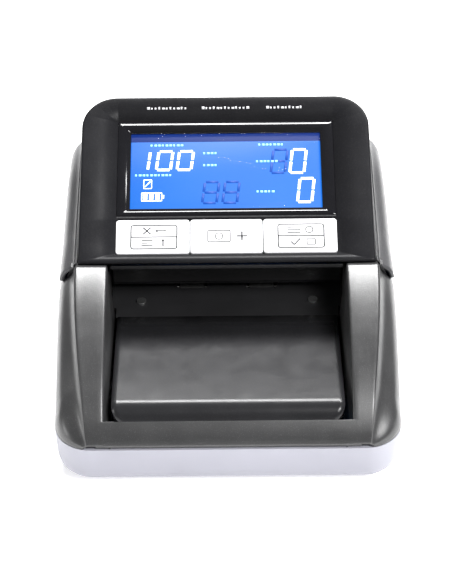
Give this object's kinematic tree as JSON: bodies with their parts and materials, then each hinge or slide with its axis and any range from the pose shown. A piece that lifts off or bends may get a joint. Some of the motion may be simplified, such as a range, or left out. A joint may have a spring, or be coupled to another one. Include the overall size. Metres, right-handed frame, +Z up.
{
  "type": "counterfeit bill detector",
  "caption": "Bench-top automatic banknote checker with a tilted display head, a note feed tray between two arms and a lid that swings up on a rear hinge.",
  "frame": {"origin": "on the resting plane under the middle of the case's bounding box", "axes": "+Y from the feed mouth at the front to the exit slot at the rear, +X to the right seen from the front, +Z up"},
  "size_m": [0.132, 0.154, 0.0832],
  "materials": {
    "base_plastic": "satin",
    "frame_plastic": "fine satin",
    "cover_plastic": "fine satin",
    "head_plastic": "fine satin",
    "tray_plastic": "satin",
    "black_plastic": "matte",
    "key_white": "satin",
    "gear_plastic": "satin",
    "lens_black": "polished",
    "lcd_blue": "lit",
    "light_guide": "polished",
    "window_dark": "polished",
    "uv_tube": "polished",
    "rubber_black": "matte",
    "steel": "brushed",
    "zinc": "bright zinc",
    "brass": "turned",
    "board": "solder mask",
    "cell_wrap": "shrink film",
    "rocker_red": "gloss"
  },
  "bodies": {
    "base_unit": {"bottom_base": "base_plastic", "lower_frame": "frame_plastic", "note_tray": "tray_plastic", "lower_track": "black_plastic", "lower_sensor_window": "window_dark", "lower_sensor_board": "board", "shaft_bushes": "brass", "feed_motor": "steel", "motor_screws": "zinc", "idler_stud": "steel", "main_board": "board", "board_components": "black_plastic", "dc_jack": "black_plastic", "update_port": "steel", "switch_body": "black_plastic", "battery_pack": "cell_wrap", "battery_cover": "base_plastic", "battery_cover_screws": "zinc", "rubber_feet": "rubber_black", "base_screws": "zinc", "hinge_pins": "steel", "deck_screws": "zinc", "hinge_washers": "brass"},
    "lid": {"upper_cover": "cover_plastic", "lid_end_plates": "black_plastic", "hinge_bracket": "cover_plastic", "display_housing": "head_plastic", "display_lens": "lens_black", "lcd_panel": "lcd_blue", "lcd_backlight": "light_guide", "display_board": "board", "key_switches": "black_plastic", "centre_plate": "key_white", "buzzer": "black_plastic", "throat_cowl": "black_plastic", "upper_track": "black_plastic", "upper_sensor_board": "board", "upper_sensor_window": "window_dark", "magnetic_head": "steel", "uv_lamp": "uv_tube", "pinch_springs": "steel", "lid_screws": "zinc", "display_ribbon": "base_plastic"},
    "left_key_body": {"left_key": "key_white"},
    "right_key_body": {"right_key": "key_white"},
    "front_feed": {"front_feed_shaft": "steel", "front_feed_rollers": "rubber_black", "front_shaft_gear": "gear_plastic"},
    "rear_feed": {"rear_feed_shaft": "steel", "rear_feed_rollers": "rubber_black", "rear_shaft_gear": "gear_plastic"},
    "idler": {"idler_gear": "gear_plastic"},
    "motor_rotor": {"motor_shaft": "steel", "motor_pinion": "brass"},
    "rocker": {"power_rocker": "rocker_red"},
    "front_pinch": {"front_pinch_axle": "steel", "front_pinch_rollers": "rubber_black"},
    "rear_pinch": {"rear_pinch_axle": "steel", "rear_pinch_rollers": "rubber_black"}
  },
  "joints": [
    {"name": "lid_open", "type": "hinge", "parent": "base_unit", "child": "lid", "pos_m": [0, 0.067, 0.054], "axis": [-1, 0, 0], "range_deg": [0, 50]},
    {"name": "left_key_press", "type": "slide", "parent": "lid", "child": "left_key_body", "axis": [0, 0.3746, -0.9272], "range_m": [0, 0.0008], "stiffness_N_per_m": 1200},
    {"name": "right_key_press", "type": "slide", "parent": "lid", "child": "right_key_body", "axis": [0, 0.3746, -0.9272], "range_m": [0, 0.0008], "stiffness_N_per_m": 1200},
    {"name": "power_switch_rock", "type": "hinge", "parent": "base_unit", "child": "rocker", "pos_m": [0, 0.0742, 0.011], "axis": [1, 0, 0], "range_deg": [0, 14]},
    {"name": "front_feed_spin", "type": "hinge", "parent": "base_unit", "child": "front_feed", "pos_m": [0, 0.012, 0.0236], "axis": [1, 0, 0], "continuous": true},
    {"name": "rear_feed_spin", "type": "hinge", "parent": "base_unit", "child": "rear_feed", "pos_m": [0, 0.052, 0.0236], "axis": [1, 0, 0], "continuous": true},
    {"name": "idler_spin", "type": "hinge", "parent": "base_unit", "child": "idler", "pos_m": [0, 0.032, 0.0236], "axis": [1, 0, 0], "continuous": true},
    {"name": "motor_spin", "type": "hinge", "parent": "base_unit", "child": "motor_rotor", "pos_m": [0, 0.04324, 0.01111], "axis": [1, 0, 0], "continuous": true},
    {"name": "front_pinch_spin", "type": "hinge", "parent": "lid", "child": "front_pinch", "pos_m": [0, 0.012, 0.0339], "axis": [1, 0, 0], "continuous": true},
    {"name": "rear_pinch_spin", "type": "hinge", "parent": "lid", "child": "rear_pinch", "pos_m": [0, 0.052, 0.0339], "axis": [1, 0, 0], "continuous": true}
  ],
  "couplings": [
    {"joint": "rear_feed_spin", "follows": "front_feed_spin", "ratio": 1},
    {"joint": "idler_spin", "follows": "front_feed_spin", "ratio": -0.66667},
    {"joint": "motor_spin", "follows": "front_feed_spin", "ratio": 1.6667},
    {"joint": "front_pinch_spin", "follows": "front_feed_spin", "ratio": -1.5},
    {"joint": "rear_pinch_spin", "follows": "front_feed_spin", "ratio": -1.5}
  ]
}
